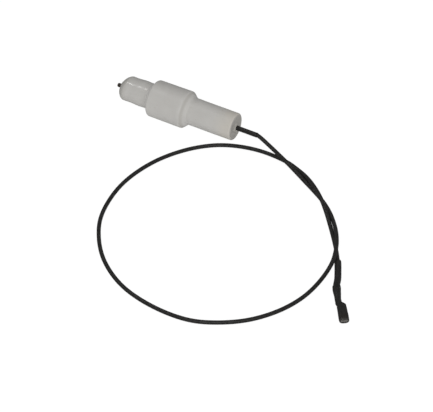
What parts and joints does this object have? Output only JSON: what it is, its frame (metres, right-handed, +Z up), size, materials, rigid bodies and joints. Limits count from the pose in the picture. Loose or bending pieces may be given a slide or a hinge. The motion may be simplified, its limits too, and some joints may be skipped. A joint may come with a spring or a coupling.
{
  "type": "flame sensor probe",
  "caption": "Turned white ceramic insulator that holds a short metal electrode at its nose, with a long thin black lead that ends in a sleeved push-on receptacle.",
  "frame": {"origin": "under the middle of the probe (insulator and electrode, without the lead), on the surface that the probe and the lead lie on", "axes": "+X along the insulator's axis from the electrode's tip to the rear face where the lead comes out, +Z up, +Y to the side that the lead does not go to"},
  "size_m": [0.1485, 0.1122, 0.0166],
  "materials": {
    "glazed_ceramic": "glossy off-white glaze",
    "electrode_alloy": "dull, oxidised heat-resisting alloy",
    "plated_steel": "nickel plated",
    "cement": "matt ceramic cement",
    "glass_fibre_sleeving": "braided glass fibre",
    "black_silicone": "satin black silicone",
    "black_shrink_sleeve": "satin black shrink sleeve",
    "tinned_copper": "tin plated copper wire",
    "tinned_brass": "tin plated sheet brass"
  },
  "bodies": {
    "root": {"insulator_body": "glazed_ceramic", "electrode_rod": "electrode_alloy", "nose_seal": "cement", "rod_retaining_washer": "plated_steel", "crimp_ferrule": "plated_steel", "splice_sleeve": "glass_fibre_sleeving", "rear_potting": "cement", "probe_strand_1": "tinned_copper", "probe_strand_2": "tinned_copper", "probe_strand_3": "tinned_copper", "probe_strand_4": "tinned_copper", "probe_strand_5": "tinned_copper", "probe_strand_6": "tinned_copper", "probe_strand_7": "tinned_copper", "exit_sleeve": "black_shrink_sleeve", "lead_jacket": "black_silicone", "lead_sleeve": "black_shrink_sleeve", "receptacle_terminal": "tinned_brass", "terminal_strand_1": "tinned_copper", "terminal_strand_2": "tinned_copper", "terminal_strand_3": "tinned_copper", "terminal_strand_4": "tinned_copper", "terminal_strand_5": "tinned_copper", "terminal_strand_6": "tinned_copper", "terminal_strand_7": "tinned_copper", "terminal_boot": "black_shrink_sleeve"}
  },
  "joints": []
}
